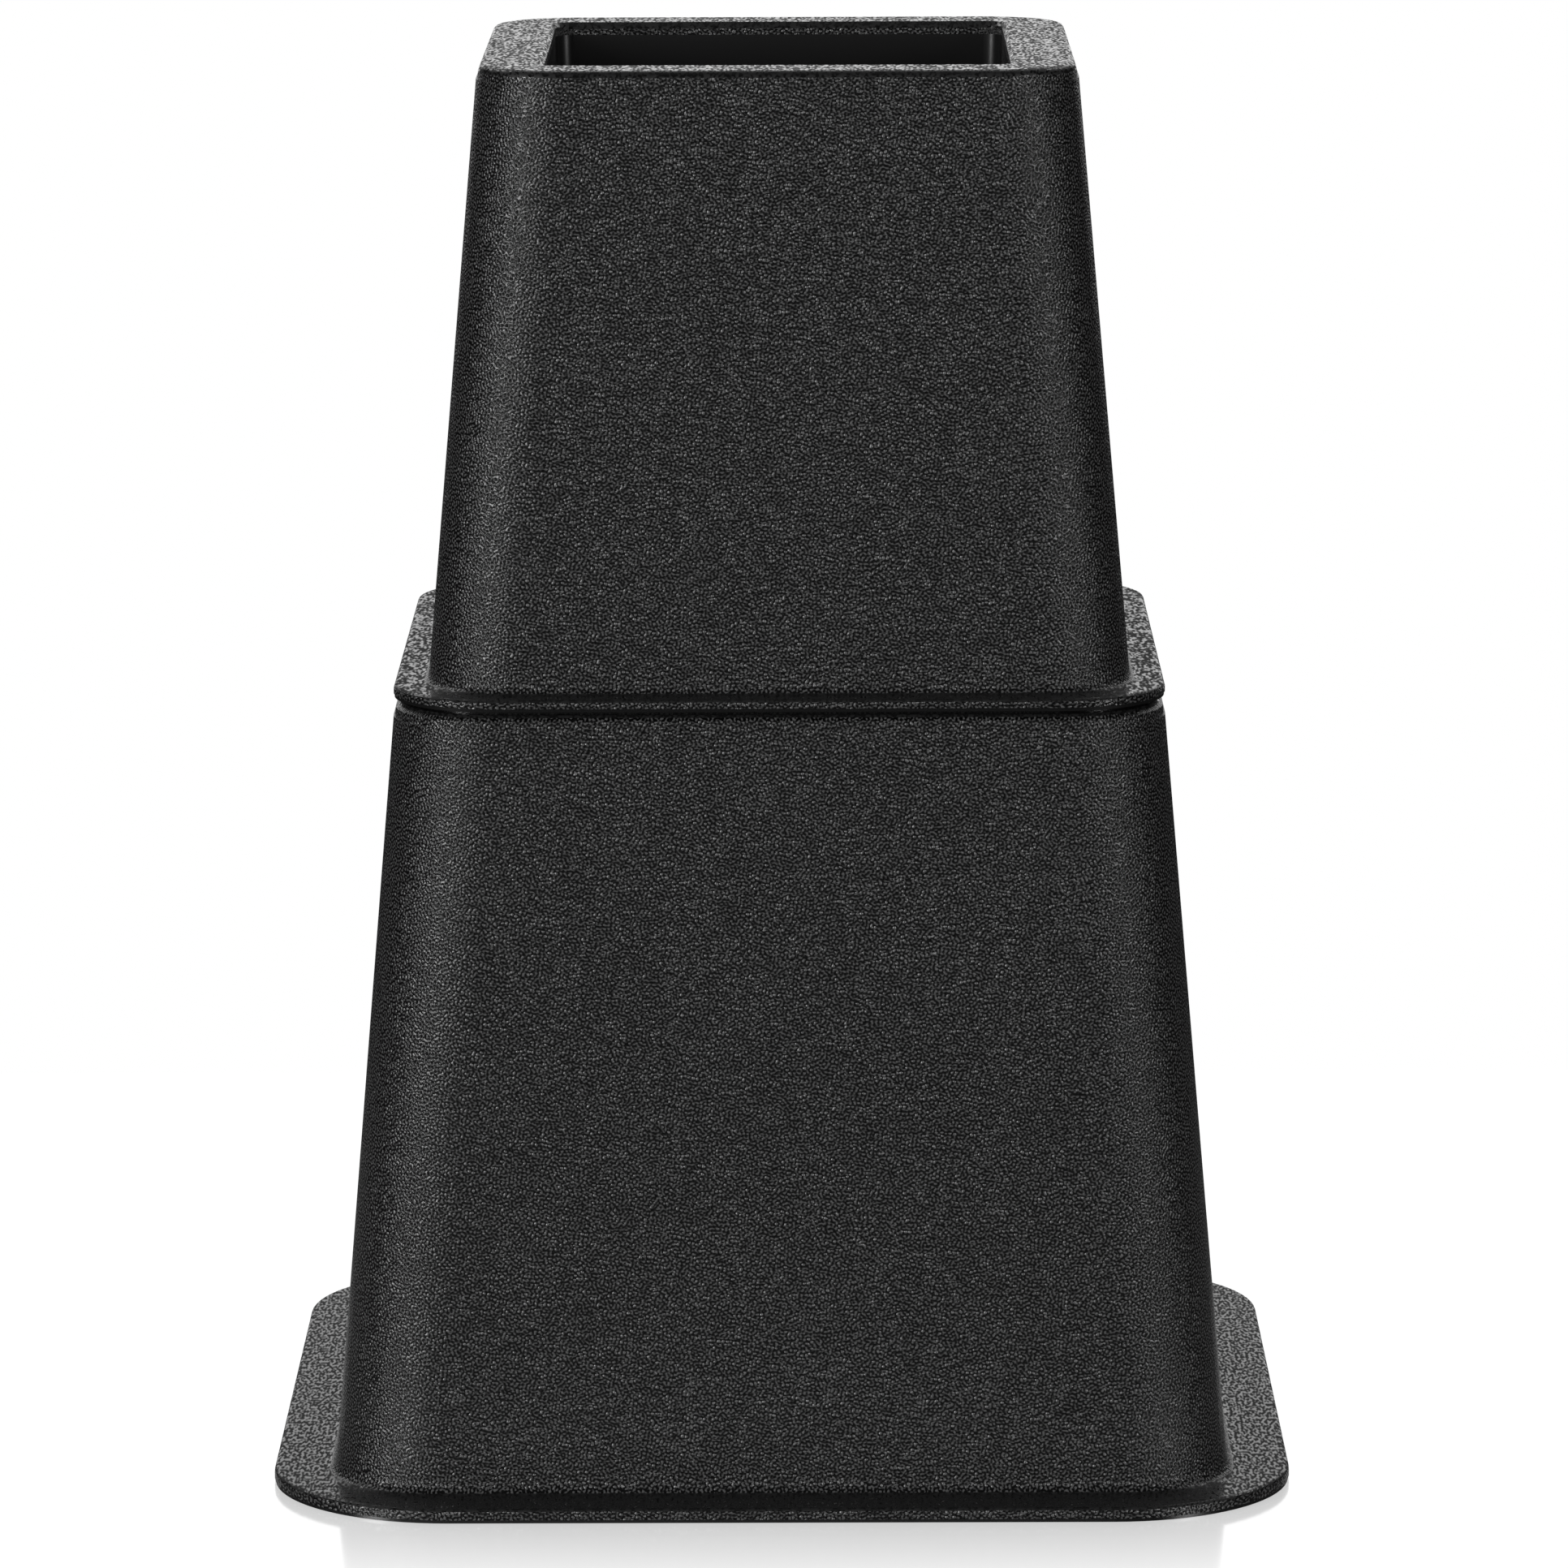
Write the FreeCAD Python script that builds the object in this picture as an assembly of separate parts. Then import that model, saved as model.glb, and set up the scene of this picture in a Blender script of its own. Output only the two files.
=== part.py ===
import FreeCAD, Part
import math
import os

# Stacking bed riser: a small moulded riser standing on a large one.
# Millimetres, +Z up, origin on the floor under the middle of the lower riser.
# Each riser is one hollow moulding, open below: a drafted square shell on a thin flange, closed at
# the top, with two ribs that cross inside it and carry the load straight down to the base.
# The upper riser has a deep socket for a furniture leg. The lower one ends in a flat deck with four
# corner lugs: they stand inside the upper riser's mouth, whose walls and ribs rest on the deck.

# Width shared by the lower riser's head and the upper riser's flange
JOINT_WIDTH = 124.4

# Lower riser
LOWER_HEIGHT = 127.2
LOWER_DRAFT = 4.78
LOWER_CORNER_RADIUS = 16.5
LOWER_FLANGE_OVERHANG = 9.95
LOWER_FLANGE_CORNER = 29.4
LOWER_FLANGE_THICKNESS = 2.3
LOWER_FOOT_FILLET = 2.2
DECK_THICKNESS = 3.0
DECK_EDGE_BEVEL = 0.9

# Upper riser
UPPER_HEIGHT = 101.6
UPPER_DRAFT = 4.89
UPPER_CORNER_RADIUS = 14.0
UPPER_FLANGE_OVERHANG = 5.3
UPPER_FLANGE_CORNER = 17.4
UPPER_FLANGE_THICKNESS = 2.6
UPPER_FOOT_FILLET = 1.6
RIM_THICKNESS = 3.2
RIM_EDGE_RADIUS = 1.2
RELIEF_HEIGHT = 0.65
RELIEF_DEPTH = 2.5

# Leg socket of the upper riser
SOCKET_WIDTH = 75.2
SOCKET_DEPTH = 25.4
SOCKET_DRAFT = 1.5
SOCKET_CORNER_RADIUS = 3.0
SOCKET_WALL = 2.5
SOCKET_FLOOR = 3.0
SOCKET_LEAD_IN = 0.7

# Lugs of the lower riser
LUG_HEIGHT = 9.5
LUG_LENGTH = 26.0
LUG_WALL = 3.0
LUG_DRAFT = 1.0
LUG_CLEARANCE = 0.4
LUG_LEAD_IN = 0.8

# Details of both mouldings
SHELL_WALL = 3.0
RIB_THICKNESS = 3.0
RIB_DRAFT = 0.25
RIM_BAND_HEIGHT = 2.3
RIM_BAND_STEP = 0.25
FLANGE_EDGE_RADIUS = 0.8
FLANGE_STRIP_HEIGHT = 0.55
FLANGE_STRIP_STEP = 0.15

# Cutting tools reach this far past the faces that they open
OVERRUN = 1.0


def frustum(low_width, low_z, high_width, high_z):
    # Square block with four flat sloping sides.
    low = low_width / 2
    high = high_width / 2
    block = Part.makeWedge(-low, low_z, -low, -high, -high, low, high_z, low, high, high)
    block.rotate(FreeCAD.Vector(0, 0, 0), FreeCAD.Vector(1, 0, 0), 90)
    return block


def rounded_block(low_width, low_z, high_width, high_z, radius):
    # The same block with its four upright corners rounded.
    block = frustum(low_width, low_z, high_width, high_z)
    upright = [e for e in block.Edges if abs(e.Vertexes[0].Z - e.Vertexes[1].Z) > 1e-6]
    return block.makeFillet(radius, upright)


def loop_at(shape, z, width):
    # Edges at height z that stay within a square of the given width.
    reach = width / 2 + 0.02
    found = []
    for edge in shape.Edges:
        points = [v.Point for v in edge.Vertexes]
        level = all(abs(p.z - z) < 1e-4 for p in points)
        if level and all(max(abs(p.x), abs(p.y)) < reach for p in points):
            found.append(edge)
    return found


def round_loop(shape, z, width, radius):
    return shape.makeFillet(radius, loop_at(shape, z, width))


def bevel_loop(shape, z, width, size):
    return shape.makeChamfer(size, loop_at(shape, z, width))


def deck_edge(band, z, width):
    return bevel_loop(band, z, width, DECK_EDGE_BEVEL)


def rim_edge(band, z, width):
    return round_loop(band, z, width, RIM_EDGE_RADIUS)


def spread(height, degrees):
    # Change of a square's width over a height, with both sides drafted.
    return 2 * height * math.tan(math.radians(degrees))


def lower_wall_width(z):
    return JOINT_WIDTH + spread(LOWER_HEIGHT - RIM_BAND_HEIGHT - z, LOWER_DRAFT)


def upper_wall_width(z):
    return JOINT_WIDTH - 2 * UPPER_FLANGE_OVERHANG - spread(z, UPPER_DRAFT)


def flange(width, corner, thickness, strip_top):
    # Flat plate whose edge has a slightly recessed strip along the bottom.
    strip_width = width - 2 * FLANGE_STRIP_STEP
    strip_corner = corner - FLANGE_STRIP_STEP
    strip = rounded_block(strip_width, 0, strip_width, thickness / 2, strip_corner)
    plate = rounded_block(width, strip_top, width, thickness, corner)
    plate = round_loop(plate, thickness, width, FLANGE_EDGE_RADIUS)
    return plate.fuse(strip)


def edge_relief(width, corner):
    # Ring that lifts the edge of the upper flange off the deck, which leaves a dark line all round.
    outer_width = width + 2 * OVERRUN
    inner_width = width - 2 * RELIEF_DEPTH
    outer = rounded_block(outer_width, -OVERRUN, outer_width, RELIEF_HEIGHT, corner + OVERRUN)
    inner = rounded_block(inner_width, -2 * OVERRUN, inner_width, RELIEF_HEIGHT + OVERRUN,
                          corner - RELIEF_DEPTH)
    return outer.cut(inner)


def blank(wall_width, height, corner, flange_plate, flange_thickness, foot_fillet, finish_edge):
    # Solid outside form: flange, sloping body and the slightly recessed band of the rim.
    band_z = height - RIM_BAND_HEIGHT
    body = rounded_block(wall_width(0), 0, wall_width(band_z), band_z, corner)
    band_low = band_z - OVERRUN
    low_width = wall_width(band_low) - 2 * RIM_BAND_STEP
    high_width = wall_width(height) - 2 * RIM_BAND_STEP
    band = rounded_block(low_width, band_low, high_width, height, corner - RIM_BAND_STEP)
    band = finish_edge(band, height, high_width)
    form = body.fuse([flange_plate, band]).removeSplitter()
    return round_loop(form, flange_thickness, wall_width(flange_thickness), foot_fillet)


def shell_room(wall_width, top_z, corner):
    # Room inside the outer wall, from below the base up to the top plate.
    low_width = wall_width(-OVERRUN) - 2 * SHELL_WALL
    high_width = wall_width(top_z) - 2 * SHELL_WALL
    return rounded_block(low_width, -OVERRUN, high_width, top_z, corner - SHELL_WALL)


def cross_ribs(length, top_z):
    # Two upright ribs that cross on the axis; they thin towards the base.
    thin = RIB_THICKNESS - spread(top_z, RIB_DRAFT)
    section = [
        FreeCAD.Vector(-thin / 2, -length / 2, 0),
        FreeCAD.Vector(thin / 2, -length / 2, 0),
        FreeCAD.Vector(RIB_THICKNESS / 2, -length / 2, top_z),
        FreeCAD.Vector(-RIB_THICKNESS / 2, -length / 2, top_z),
    ]
    rib = Part.Face(Part.makePolygon(section + section[:1])).extrude(FreeCAD.Vector(0, length, 0))
    crossing = rib.copy()
    crossing.rotate(FreeCAD.Vector(0, 0, 0), FreeCAD.Vector(0, 0, 1), 90)
    return rib.fuse(crossing)


def corner_lugs():
    # Four angle-shaped lugs that follow the inside of the upper riser's mouth.
    inset = 2 * (SHELL_WALL + LUG_CLEARANCE)
    corner = UPPER_CORNER_RADIUS - inset / 2
    foot_width = upper_wall_width(0) - inset
    head_width = upper_wall_width(LUG_HEIGHT) - inset
    buried_width = upper_wall_width(-OVERRUN) - inset
    ring = rounded_block(buried_width, -OVERRUN, head_width, LUG_HEIGHT, corner)
    ring = bevel_loop(ring, LUG_HEIGHT, head_width, LUG_LEAD_IN)
    inside_width = foot_width - 2 * LUG_WALL
    inside_head = inside_width + spread(LUG_HEIGHT + OVERRUN, LUG_DRAFT)
    inside_low = inside_width - spread(2 * OVERRUN, LUG_DRAFT)
    inside = rounded_block(inside_low, -2 * OVERRUN, inside_head, LUG_HEIGHT + OVERRUN,
                           corner - LUG_WALL)
    gap = foot_width - 2 * LUG_LENGTH
    slot = Part.makeBox(gap, 2 * foot_width, LUG_HEIGHT + 4 * OVERRUN,
                        FreeCAD.Vector(-gap / 2, -foot_width, -2 * OVERRUN))
    across = slot.copy()
    across.rotate(FreeCAD.Vector(0, 0, 0), FreeCAD.Vector(0, 0, 1), 90)
    lugs = ring.cut([inside, slot, across])
    lugs.translate(FreeCAD.Vector(0, 0, LOWER_HEIGHT))
    return lugs


def lower_riser():
    width = lower_wall_width(0) + 2 * LOWER_FLANGE_OVERHANG
    plate = flange(width, LOWER_FLANGE_CORNER, LOWER_FLANGE_THICKNESS, FLANGE_STRIP_HEIGHT)
    form = blank(lower_wall_width, LOWER_HEIGHT, LOWER_CORNER_RADIUS, plate,
                 LOWER_FLANGE_THICKNESS, LOWER_FOOT_FILLET, deck_edge)
    room = shell_room(lower_wall_width, LOWER_HEIGHT - DECK_THICKNESS, LOWER_CORNER_RADIUS)
    ribs = cross_ribs(width, LOWER_HEIGHT)
    return form.cut(room.cut(ribs)).fuse(corner_lugs()).removeSplitter()


def upper_riser():
    plate = flange(JOINT_WIDTH, UPPER_FLANGE_CORNER, UPPER_FLANGE_THICKNESS,
                   RELIEF_HEIGHT + FLANGE_STRIP_HEIGHT)
    form = blank(upper_wall_width, UPPER_HEIGHT, UPPER_CORNER_RADIUS, plate,
                 UPPER_FLANGE_THICKNESS, UPPER_FOOT_FILLET, rim_edge)
    floor_z = UPPER_HEIGHT - SOCKET_DEPTH
    floor_width = SOCKET_WIDTH - spread(SOCKET_DEPTH, SOCKET_DRAFT)
    mouth_width = SOCKET_WIDTH + spread(OVERRUN, SOCKET_DRAFT)
    socket = rounded_block(floor_width, floor_z, mouth_width, UPPER_HEIGHT + OVERRUN,
                           SOCKET_CORNER_RADIUS)
    cup_low = floor_width - spread(SOCKET_FLOOR, SOCKET_DRAFT) + 2 * SOCKET_WALL
    cup = rounded_block(cup_low, floor_z - SOCKET_FLOOR, SOCKET_WIDTH + 2 * SOCKET_WALL,
                        UPPER_HEIGHT, SOCKET_CORNER_RADIUS + SOCKET_WALL)
    room = shell_room(upper_wall_width, UPPER_HEIGHT - RIM_THICKNESS, UPPER_CORNER_RADIUS)
    ribs = cross_ribs(JOINT_WIDTH, UPPER_HEIGHT)
    relief = edge_relief(JOINT_WIDTH, UPPER_FLANGE_CORNER)
    form = form.cut([room.cut([cup, ribs]), socket, relief]).removeSplitter()
    form = bevel_loop(form, UPPER_HEIGHT, SOCKET_WIDTH, SOCKET_LEAD_IN)
    form.translate(FreeCAD.Vector(0, 0, LOWER_HEIGHT))
    return form


os.makedirs("parts", exist_ok=True)
lower_riser().exportStep("parts/lower_riser.step")
upper_riser().exportStep("parts/upper_riser.step")
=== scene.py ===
import math

import bpy
from mathutils import Matrix, Vector


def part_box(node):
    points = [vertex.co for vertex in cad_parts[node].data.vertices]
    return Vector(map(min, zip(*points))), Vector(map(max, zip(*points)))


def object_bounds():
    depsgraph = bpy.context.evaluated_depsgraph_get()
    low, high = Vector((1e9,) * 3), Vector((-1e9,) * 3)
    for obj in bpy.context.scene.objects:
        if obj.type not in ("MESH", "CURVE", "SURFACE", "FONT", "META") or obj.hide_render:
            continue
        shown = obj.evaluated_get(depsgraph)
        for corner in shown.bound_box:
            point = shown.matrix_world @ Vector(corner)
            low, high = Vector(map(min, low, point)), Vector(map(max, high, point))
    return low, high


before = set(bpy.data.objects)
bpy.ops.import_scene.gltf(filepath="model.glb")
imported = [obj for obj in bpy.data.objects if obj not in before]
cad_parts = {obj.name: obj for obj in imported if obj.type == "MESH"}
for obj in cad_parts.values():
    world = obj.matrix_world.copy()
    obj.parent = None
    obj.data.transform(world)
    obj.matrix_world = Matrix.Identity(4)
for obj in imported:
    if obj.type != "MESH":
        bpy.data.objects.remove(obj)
cadLow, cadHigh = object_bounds()
scene = bpy.context.scene
pureWhite = (1.0, 1.0, 1.0, 1.0)
print("frame loaded:", ", ".join(sorted(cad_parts)))


# small helpers for shader nodes; the owner is a material or the world

def newMaterial(name):
    material = bpy.data.materials.new(name)
    material.use_nodes = True
    material.node_tree.nodes.clear()
    return material


def addNode(owner, kind, **settings):
    node = owner.node_tree.nodes.new(kind)
    for key, value in settings.items():
        setattr(node, key, value)
    return node


def plug(owner, source, target):
    owner.node_tree.links.new(source, target)


def mathStep(owner, operation, *values):
    node = addNode(owner, "ShaderNodeMath", operation=operation)
    for socket, value in zip(node.inputs, values):
        if isinstance(value, (int, float)):
            socket.default_value = value
        else:
            plug(owner, value, socket)
    return node.outputs[0]


def rescale(owner, value, levels, results):
    # the pair of levels becomes the pair of results, and nothing goes past them
    node = addNode(owner, "ShaderNodeMapRange")
    plug(owner, value, node.inputs["Value"])
    node.inputs["From Min"].default_value, node.inputs["From Max"].default_value = levels
    node.inputs["To Min"].default_value, node.inputs["To Max"].default_value = results
    return node.outputs[0]


def heightBand(material, z, low, high):
    # 1 between two heights, 0 elsewhere
    return mathStep(material, "MULTIPLY",
                    mathStep(material, "GREATER_THAN", z, low),
                    mathStep(material, "LESS_THAN", z, high))


def roundedReach(material, split, core):
    # distance outside a square of half width core: a rounded square's radius is the same all round it
    overhang = addNode(material, "ShaderNodeCombineXYZ")
    for axis in ("X", "Y"):
        away = mathStep(material, "SUBTRACT", mathStep(material, "ABSOLUTE", split.outputs[axis]), core)
        plug(material, mathStep(material, "MAXIMUM", away, 0.0), overhang.inputs[axis])
    reach = addNode(material, "ShaderNodeVectorMath", operation="LENGTH")
    plug(material, overhang.outputs[0], reach.inputs[0])
    return reach.outputs["Value"]


# grained plastic: one recipe for both mouldings, polished inside

grainLook = {
    # the first two colours are painted shade in the grain's hollows and painted highlight on its crests
    "hollowShadeColour": (0.001, 0.001, 0.001, 1.0),
    "crestHighlightColour": (0.113, 0.113, 0.1135, 1.0),
    # plain colour of the polished plastic, kept this dark as painted shade in the gap between the upper
    # flange and the lower rim
    "plainAndGapShadeColour": (0.008, 0.008, 0.0081, 1.0),
    "hollowLevel": 0.48,      # grain heights that get the first two colours
    "crestLevel": 0.7,
    "ior": 1.5,
    "waves": 11,
    "ridgeSpacing": 0.00062,
    "spacingSpread": 0.06,    # some waves are this much closer or wider
    "middleHeight": 0.5,
    "ridgeSpread": 0.15,      # of the grain's heights round their middle
    "grainHeight": 0.00019,
    "driftScale": 350.0,      # noise that makes the waves wander
    "driftSize": 13.0,
    "driftSteps": (1.7, 2.9, 4.3),
    "driftTurn": (0.5, 0.6, 0.4),
    "wallRoughness": 0.27,
    "skinDepth": 0.0022,      # grain ends this far inside the outer wall
    "lipDepth": 0.0021,       # and this far below the rim
    "edgeDrop": 0.0004,       # a flange's flat top reaches this far down its edge
    "footRise": 0.00025,      # and this far up the foot of the wall
    "fleckScale": (2200.0, 700.0, 2200.0),
    "fleckLevels": (0.3, 0.62),
    "fleckRoughness": (0.01, 0.64),
    "flangeDulling": 0.08,    # the flanges are duller than the rim
}


def wallCore(material, split, form, footZ):
    # half width between the corners' centres, which shrinks with height
    height = mathStep(material, "SUBTRACT", split.outputs["Z"], footZ)
    drop = mathStep(material, "MULTIPLY", height, form["slope"])
    return mathStep(material, "SUBTRACT", form["footHalf"] - form["corner"], drop)


def outsideMask(material, split, core, form, footZ):
    # 1 on the outer skin and the rim, 0 in the socket, underneath and on the flange's bottom strip
    look = grainLook
    z = split.outputs["Z"]
    reach = roundedReach(material, split, core)
    skin = mathStep(material, "GREATER_THAN", reach, form["corner"] - look["skinDepth"])
    rim = mathStep(material, "GREATER_THAN", z, form["rim"] - look["lipDepth"])
    # on the upper riser this bottom strip takes in the gap under the flange, where the plain colour is
    # painted shade
    above = mathStep(material, "GREATER_THAN", z, footZ + form["strip"])
    return mathStep(material, "MULTIPLY", mathStep(material, "MAXIMUM", skin, rim), above)


def flatMask(material, split, form, footZ):
    # 1 on the flat tops of flange and rim and on the start of their edges
    look = grainLook
    z = split.outputs["Z"]
    top = footZ + form["flange"]
    flangeTop = heightBand(material, z, top - look["edgeDrop"], top + look["footRise"])
    rimTop = mathStep(material, "GREATER_THAN", z, form["rim"] - form["rimEdge"])
    return mathStep(material, "MAXIMUM", flangeTop, rimTop)


def distanceRound(material, split, core, corner):
    # distance round the outside from the middle of the front or back, on flats and corners alike
    across = mathStep(material, "ABSOLUTE", split.outputs["X"])
    along = mathStep(material, "ABSOLUTE", split.outputs["Y"])
    past = [mathStep(material, "MAXIMUM", mathStep(material, "SUBTRACT", way, core), 0.0)
            for way in (across, along)]
    bend = mathStep(material, "MULTIPLY", mathStep(material, "ARCTAN2", *past), corner)
    front = mathStep(material, "ADD", mathStep(material, "MINIMUM", across, core), bend)
    side = mathStep(material, "SUBTRACT", core, mathStep(material, "MINIMUM", along, core))
    total = mathStep(material, "ADD", front, side)
    return mathStep(material, "MULTIPLY", total, mathStep(material, "SIGN", split.outputs["X"]))


def ridgedGrain(material, coords, split, core, corner):
    # short ridges of about one width that run every way: waves from all sides, each wandering by itself
    look = grainLook
    turned = addNode(material, "ShaderNodeMapping")
    turned.inputs["Rotation"].default_value = look["driftTurn"]
    plug(material, coords.outputs["Object"], turned.inputs["Vector"])
    drift = addNode(material, "ShaderNodeTexNoise")
    drift.inputs["Scale"].default_value = look["driftScale"]
    drift.inputs["Detail"].default_value = 0.0
    plug(material, turned.outputs["Vector"], drift.inputs["Vector"])
    around = distanceRound(material, split, core, corner)
    total = 0.0
    for index in range(look["waves"]):
        turn = math.pi * (index + 0.5) / look["waves"]
        spacing = look["ridgeSpacing"] * (1.0 + look["spacingSpread"] * (index % 3 - 1))
        pace = 2.0 * math.pi / spacing
        wander = addNode(material, "ShaderNodeVectorMath", operation="DOT_PRODUCT")
        plug(material, drift.outputs["Color"], wander.inputs[0])
        wander.inputs[1].default_value = [look["driftSize"] * math.sin(index * step + step)
                                          for step in look["driftSteps"]]
        phase = mathStep(material, "MULTIPLY_ADD", around, pace * math.cos(turn),
                         wander.outputs["Value"])
        phase = mathStep(material, "MULTIPLY_ADD", split.outputs["Z"], pace * math.sin(turn), phase)
        total = mathStep(material, "ADD", mathStep(material, "SINE", phase), total)
    level = mathStep(material, "MULTIPLY", total, look["ridgeSpread"] / math.sqrt(look["waves"] / 2))
    return mathStep(material, "ADD", level, look["middleHeight"])


def fleckNoise(material, coords, scale):
    mapping = addNode(material, "ShaderNodeMapping")
    mapping.inputs["Scale"].default_value = scale
    plug(material, coords.outputs["Object"], mapping.inputs["Vector"])
    noise = addNode(material, "ShaderNodeTexNoise")
    noise.inputs["Scale"].default_value = 1.0
    noise.inputs["Detail"].default_value = 0.0
    plug(material, mapping.outputs[0], noise.inputs["Vector"])
    return noise.outputs["Fac"]


def grainedPlastic(name, form, footZ):
    look = grainLook
    material = newMaterial(name)
    coords = addNode(material, "ShaderNodeTexCoord")
    split = addNode(material, "ShaderNodeSeparateXYZ")
    plug(material, coords.outputs["Object"], split.inputs[0])
    core = wallCore(material, split, form, footZ)
    outside = outsideMask(material, split, core, form, footZ)
    flat = flatMask(material, split, form, footZ)
    grain = ridgedGrain(material, coords, split, core, form["corner"])

    # painted highlight on the walls' crests, which are pale, and painted shade in their hollows, which are
    # near-black; plain dark where the mould was polished, and as painted shade in the gap under the upper
    # flange
    walls = mathStep(material, "MULTIPLY", outside, mathStep(material, "SUBTRACT", 1.0, flat))
    tint = addNode(material, "ShaderNodeValToRGB")
    tint.color_ramp.elements[0].position = look["hollowLevel"]
    tint.color_ramp.elements[0].color = look["hollowShadeColour"]
    tint.color_ramp.elements[1].position = look["crestLevel"]
    tint.color_ramp.elements[1].color = look["crestHighlightColour"]
    plug(material, grain, tint.inputs[0])
    colour = addNode(material, "ShaderNodeMix", data_type="RGBA")
    # where there is no grain: the polished plastic's plain colour, which is also painted shade in the gap
    # under the upper flange
    colour.inputs[6].default_value = look["plainAndGapShadeColour"]     # 6 and 7 are the two colours to mix
    plug(material, walls, colour.inputs[0])
    plug(material, tint.outputs["Color"], colour.inputs[7])

    # flecks of gloss on the flat tops
    flecks = fleckNoise(material, coords, look["fleckScale"])
    gloss = rescale(material, flecks, look["fleckLevels"], look["fleckRoughness"])
    belowRim = mathStep(material, "LESS_THAN", split.outputs["Z"], form["rim"] - look["lipDepth"])
    dulled = mathStep(material, "MULTIPLY_ADD", belowRim, look["flangeDulling"], gloss)
    roughness = addNode(material, "ShaderNodeMix")
    roughness.inputs["A"].default_value = look["wallRoughness"]
    plug(material, flat, roughness.inputs["Factor"])
    plug(material, dulled, roughness.inputs["B"])

    bump = addNode(material, "ShaderNodeBump")
    bump.inputs["Distance"].default_value = look["grainHeight"]
    plug(material, walls, bump.inputs["Strength"])
    plug(material, grain, bump.inputs["Height"])
    shader = addNode(material, "ShaderNodeBsdfPrincipled")
    shader.inputs["IOR"].default_value = look["ior"]
    plug(material, colour.outputs[2], shader.inputs["Base Color"])     # 2 is the mixed colour
    plug(material, roughness.outputs[0], shader.inputs["Roughness"])
    plug(material, bump.outputs["Normal"], shader.inputs["Normal"])
    out = addNode(material, "ShaderNodeOutputMaterial")
    plug(material, shader.outputs["BSDF"], out.inputs["Surface"])
    return material


# metres: half width at the foot, draft as a slope, corner radius, height of the rim above the floor,
# how far the rim's flat top reaches down its edge, the flange's thickness and its bottom strip's top
mouldings = {
    "lower_riser": {"footHalf": 0.0727, "slope": 0.0836, "corner": 0.0165, "rim": 0.1272,
                    "rimEdge": 0.0004, "flange": 0.0023, "strip": 0.00055},
    "upper_riser": {"footHalf": 0.0569, "slope": 0.0856, "corner": 0.014, "rim": 0.2288,
                    "rimEdge": 0.0011, "flange": 0.0026, "strip": 0.0012},
}

for nodeName, form in mouldings.items():
    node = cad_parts[nodeName]
    plastic = grainedPlastic(nodeName + "_plastic", form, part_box(nodeName)[0][2])
    node.data.materials.clear()
    node.data.materials.append(plastic)
print("grained plastic on", ", ".join(mouldings))


# white floor with a faint mirror image close to the base, which takes the place of the white there, so
# that where it mirrors the dim room it darkens the floor round the base as painted shadow

floorLook = {
    "halfSize": 0.26,
    "drop": 0.00005,          # just below the base, so that the two never flicker
    "baseCorner": 0.0294,
    "colour": (0.25, 0.25, 0.25, 1.0),
    "glow": 0.99,             # white that the camera alone sees
    "mirror": 0.44,           # at the base's edge
    "mirrorFade": 0.055,      # gone this far from the base
    "mirrorRoughness": 0.12,
}


def whiteFloor():
    look = floorLook
    bpy.ops.mesh.primitive_plane_add(size=2 * look["halfSize"], location=(0.0, 0.0, -look["drop"]))
    floor = bpy.context.object
    floor.name = "studioFloor"
    material = newMaterial("floorWhite")
    matt = addNode(material, "ShaderNodeBsdfDiffuse")
    matt.inputs["Color"].default_value = look["colour"]
    glow = addNode(material, "ShaderNodeEmission")
    path = addNode(material, "ShaderNodeLightPath")
    seen = mathStep(material, "MULTIPLY", path.outputs["Is Camera Ray"], look["glow"])
    plug(material, seen, glow.inputs["Strength"])
    white = addNode(material, "ShaderNodeAddShader")
    plug(material, matt.outputs[0], white.inputs[0])
    plug(material, glow.outputs[0], white.inputs[1])

    # the mirror image, and the painted shadow it makes, fade with the distance from the base
    coords = addNode(material, "ShaderNodeTexCoord")
    split = addNode(material, "ShaderNodeSeparateXYZ")
    plug(material, coords.outputs["Object"], split.inputs[0])
    reach = roundedReach(material, split, cadHigh[0] - look["baseCorner"])
    fade = rescale(material, reach, (look["baseCorner"], look["baseCorner"] + look["mirrorFade"]),
                   (look["mirror"], 0.0))
    mirror = addNode(material, "ShaderNodeBsdfGlossy")
    mirror.inputs["Color"].default_value = pureWhite
    mirror.inputs["Roughness"].default_value = look["mirrorRoughness"]
    surface = addNode(material, "ShaderNodeMixShader")
    plug(material, fade, surface.inputs[0])
    plug(material, white.outputs[0], surface.inputs[1])
    plug(material, mirror.outputs[0], surface.inputs[2])
    out = addNode(material, "ShaderNodeOutputMaterial")
    plug(material, surface.outputs[0], out.inputs["Surface"])
    floor.data.materials.append(material)


whiteFloor()


# white card behind

backdropLook = {"distance": 3.2, "width": 3.0, "height": 2.2}


def backgroundRay(material):
    # 1 for rays that show the background: straight, mirrored or through glass
    path = addNode(material, "ShaderNodeLightPath")
    seen = mathStep(material, "MAXIMUM", path.outputs["Is Camera Ray"], path.outputs["Is Glossy Ray"])
    return mathStep(material, "MAXIMUM", seen, path.outputs["Is Transmission Ray"])


def whiteBackdrop():
    look = backdropLook
    bpy.ops.mesh.primitive_plane_add(size=1.0, location=(0.0, look["distance"], look["height"] / 2))
    card = bpy.context.object
    card.name = "studioBackdrop"
    card.scale = (look["width"], look["height"], 1.0)
    card.rotation_euler = (math.radians(90.0), 0.0, 0.0)
    material = newMaterial("backdropWhite")
    glow = addNode(material, "ShaderNodeEmission")
    plug(material, backgroundRay(material), glow.inputs["Strength"])
    out = addNode(material, "ShaderNodeOutputMaterial")
    plug(material, glow.outputs[0], out.inputs["Surface"])
    card.data.materials.append(material)


whiteBackdrop()
print("floor and backdrop set")


# soft boxes round the object; the two narrow ones light its corners

lampTarget = (0.0, 0.0, 0.11)     # about the middle of the object

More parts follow.
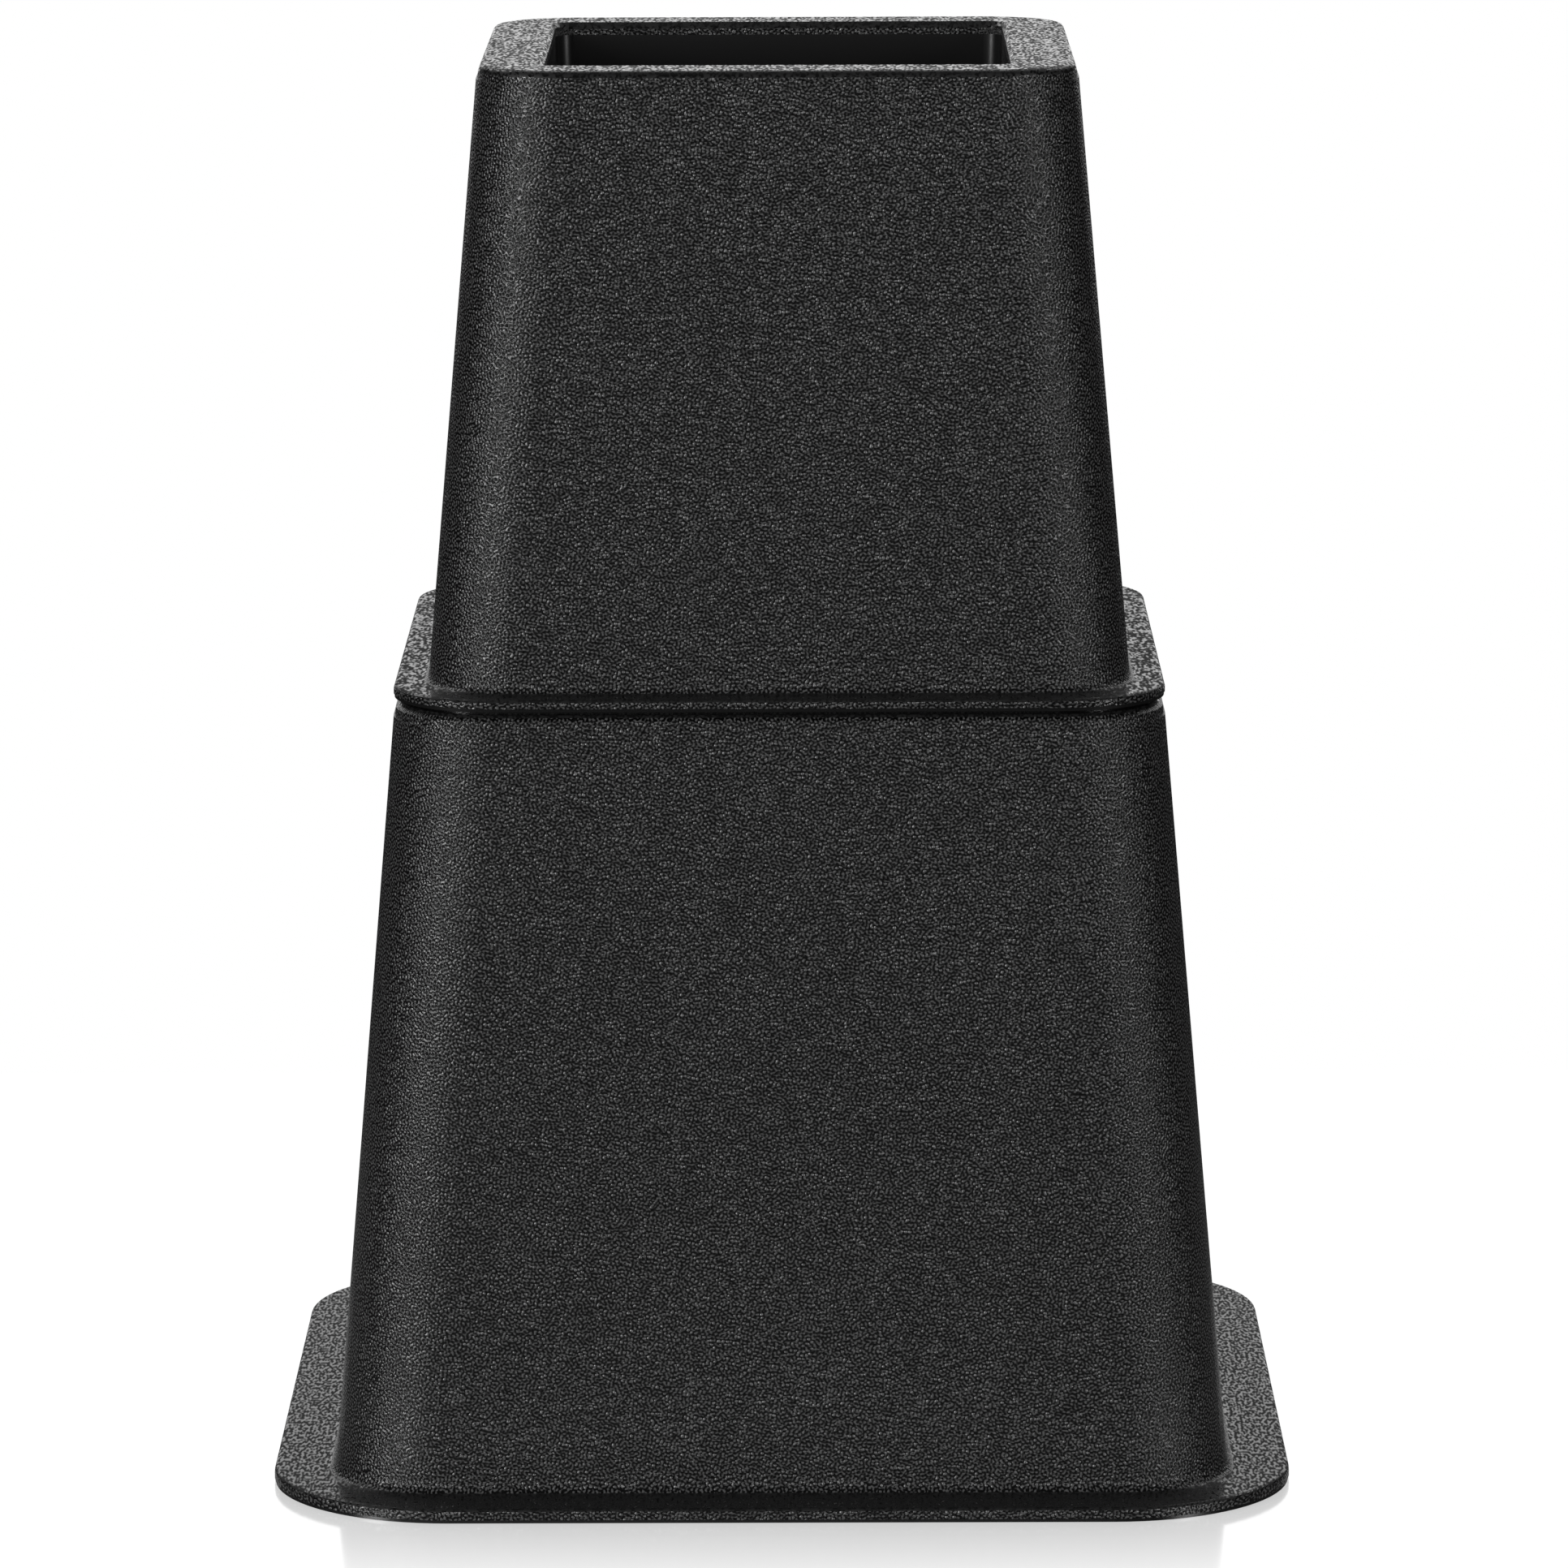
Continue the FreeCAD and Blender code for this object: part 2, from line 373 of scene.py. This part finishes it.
lamps = {
    "keyLeft": {"place": (-1.25, -1.05, 0.6), "size": (0.35, 0.65), "power": 14.0},
    "fillRight": {"place": (1.3, -1.1, 0.6), "size": (0.35, 0.65), "power": 8.8},
    "front": {"place": (-0.5, -2.0, 0.4), "size": (1.2, 0.6), "power": 1.8},
    "overhead": {"place": (0.0, -0.2, 2.0), "size": (1.6, 1.6), "power": 0.7},
    "rear": {"place": (0.0, 1.3, 2.0), "size": (1.2, 0.8), "power": 5.0},
    "backLeft": {"place": (-1.1, 1.2, 1.5), "size": (0.8, 0.8), "power": 5.0},
    "backRight": {"place": (1.1, 1.2, 1.5), "size": (0.8, 0.8), "power": 4.0},
}


def softLamp(name, place, size, power):
    data = bpy.data.lights.new(name, "AREA")
    data.shape = "RECTANGLE"
    data.size, data.size_y = size
    data.energy = power
    lamp = bpy.data.objects.new(name, data)
    lamp.location = place
    aim = Vector(lampTarget) - Vector(place)
    lamp.rotation_euler = aim.to_track_quat("-Z", "Y").to_euler()
    scene.collection.objects.link(lamp)


for lampName, lamp in lamps.items():
    softLamp(lampName, lamp["place"], lamp["size"], lamp["power"])


# dim room, white only where the camera sees it

roomLook = {"grey": 0.02, "seen": 1.0}


def dimRoom():
    world = bpy.data.worlds.new("studioRoom")
    scene.world = world
    world.use_nodes = True
    path = addNode(world, "ShaderNodeLightPath")
    level = rescale(world, path.outputs["Is Camera Ray"], (0.0, 1.0), (roomLook["grey"], roomLook["seen"]))
    background = world.node_tree.nodes["Background"]
    background.inputs["Color"].default_value = pureWhite
    plug(world, level, background.inputs["Strength"])


dimRoom()
print(len(lamps), "lamps and dim room set")


# camera, matched to the photo; angles in radians

cameraView = {
    "place": (0.005035, -1.419674, 0.361083),
    "tiltDown": 0.178468,
    "pan": -0.003146,
    "roll": 0.003380,
    "focalPixels": 10650.0,
    "imagePixels": 1932.0,
    "sensor": 36.0,           # millimetres
    "farClip": 50.0,
}


def addCamera():
    look = cameraView
    data = bpy.data.cameras.new("photoCamera")
    data.sensor_width = look["sensor"]
    data.lens = look["focalPixels"] / look["imagePixels"] * look["sensor"]
    data.clip_end = look["farClip"]
    camera = bpy.data.objects.new("photoCamera", data)
    scene.collection.objects.link(camera)
    turn = Matrix.Rotation(-look["pan"], 4, "Z")
    turn = turn @ Matrix.Rotation(math.radians(90.0) - look["tiltDown"], 4, "X")
    turn = turn @ Matrix.Rotation(-look["roll"], 4, "Z")
    camera.matrix_world = Matrix.Translation(Vector(look["place"])) @ turn
    scene.camera = camera


addCamera()
scene.view_settings.view_transform = "Standard"
print("camera set")
